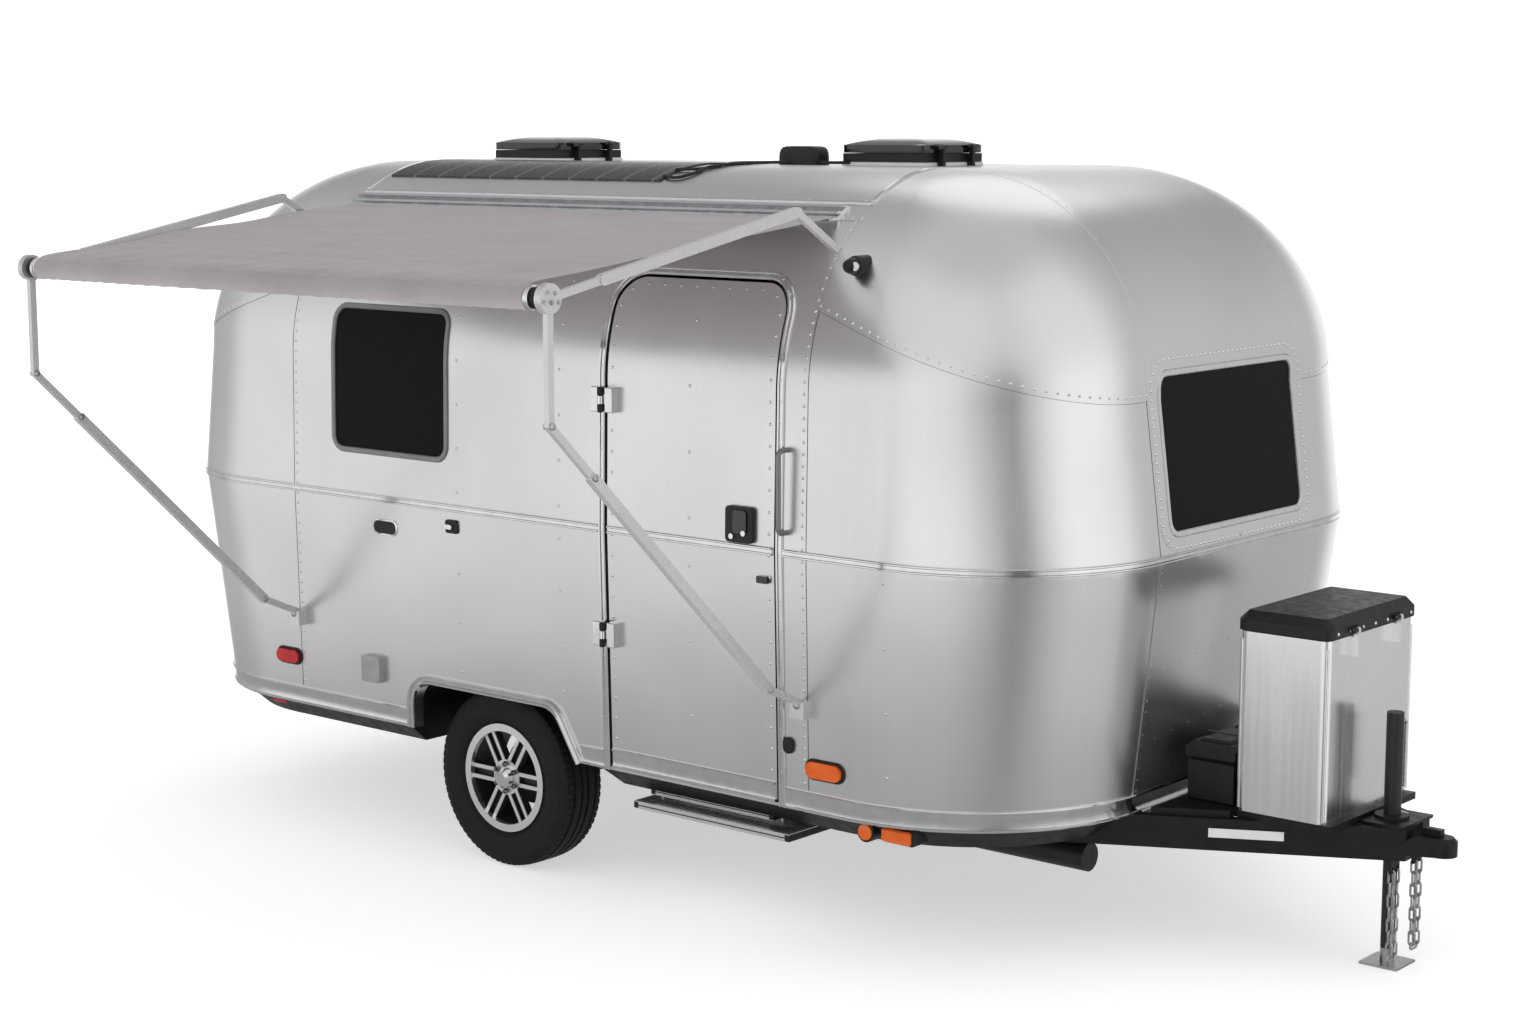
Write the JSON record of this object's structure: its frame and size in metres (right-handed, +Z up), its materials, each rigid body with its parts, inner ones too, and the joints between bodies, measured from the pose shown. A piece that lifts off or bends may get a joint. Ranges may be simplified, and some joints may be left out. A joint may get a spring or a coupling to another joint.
{
  "type": "travel caravan",
  "caption": "Single-axle travel caravan with a rounded riveted aluminium body, side entry door, roof vents, tongue gas cover and a side awning let out on folding arms.",
  "frame": {"origin": "centre of the ball socket in the coupler at the tip of the tongue", "axes": "+X forward, towards the tow vehicle; +Y to the caravan's left; +Z up"},
  "size_m": [5.4095, 3.6659, 2.763],
  "materials": {
    "skin": "polished sheet",
    "trim": "satin extrusion",
    "handle_grey": "satin",
    "black_plastic": "satin",
    "vent_smoke": "gloss",
    "cast_grey": "satin",
    "dark_glass": "dark tint",
    "solar_cells": "satin",
    "taupe_cloth": "woven",
    "black_steel": "satin black",
    "zinc_steel": "zinc plated",
    "ply_floor": "plain",
    "white_paint": "gloss",
    "amber_lens": "gloss",
    "red_lens": "gloss",
    "tyre_rubber": "matte",
    "rim_alloy": "machined face",
    "drum_iron": "painted"
  },
  "bodies": {
    "coach": {"side_wall_right": "skin", "side_wall_left": "skin", "roof_panel": "skin", "end_panel_front": "skin", "end_panel_rear": "skin", "corners_right_lower": "skin", "corners_right_upper": "skin", "corners_left_lower": "skin", "corners_left_upper": "skin", "roof_side_plate": "skin", "body_mouldings": "trim", "arch_trims": "trim", "door_frame": "trim", "window_frames": "trim", "awning_rail": "trim", "awning_arms": "trim", "entry_step": "trim", "gas_cover": "trim", "grab_handle": "handle_grey", "battery_boxes": "black_plastic", "vent_bases": "black_plastic", "antenna": "black_plastic", "porch_lamp": "black_plastic", "hose_tube": "black_plastic", "power_inlet": "cast_grey", "window_panes": "dark_glass", "solar_panel": "solar_cells", "awning_fabric": "taupe_cloth", "awning_roller": "taupe_cloth", "wheel_housings": "black_steel", "belly_pan": "black_steel", "tongue_frame": "black_steel", "coupler": "black_steel", "axle": "black_steel", "stabilisers": "black_steel", "jack_tube": "black_steel", "jack_leg": "zinc_steel", "safety_chains": "zinc_steel", "floor_deck": "ply_floor", "gas_bottles": "white_paint", "amber_lamps": "amber_lens", "red_lamps": "red_lens"},
    "wheel_right": {"tyre_right": "tyre_rubber", "rim_right": "rim_alloy", "hub_right": "drum_iron"},
    "wheel_left": {"tyre_left": "tyre_rubber", "rim_left": "rim_alloy", "hub_left": "drum_iron"},
    "door": {"entry_door": "skin", "door_trim": "trim", "door_handle": "black_plastic"},
    "vent_front": {"vent_lid_front": "vent_smoke"},
    "vent_rear": {"vent_lid_rear": "vent_smoke"},
    "gas_lid": {"gas_lid": "black_plastic"}
  },
  "joints": [
    {"name": "wheel_right_spin", "type": "hinge", "parent": "coach", "child": "wheel_right", "pos_m": [-3.32, -1.0075, -0.085], "axis": [0, 1, 0], "continuous": true},
    {"name": "wheel_left_spin", "type": "hinge", "parent": "coach", "child": "wheel_left", "pos_m": [-3.32, 1.0075, -0.085], "axis": [0, 1, 0], "continuous": true},
    {"name": "entry_door", "type": "hinge", "parent": "coach", "child": "door", "pos_m": [-2.664, -1.235, 1], "axis": [0, 0, -1], "range_deg": [0, 170]},
    {"name": "vent_lid_front", "type": "hinge", "parent": "coach", "child": "vent_front", "pos_m": [-2.013, 0, 2.301], "axis": [0, 1, 0], "range_deg": [0, 70]},
    {"name": "vent_lid_rear", "type": "hinge", "parent": "coach", "child": "vent_rear", "pos_m": [-3.863, 0, 2.301], "axis": [0, 1, 0], "range_deg": [0, 70]},
    {"name": "gas_cover_lid", "type": "hinge", "parent": "coach", "child": "gas_lid", "pos_m": [-0.256, 0, 0.735], "axis": [0, 1, 0], "range_deg": [0, 100]}
  ]
}
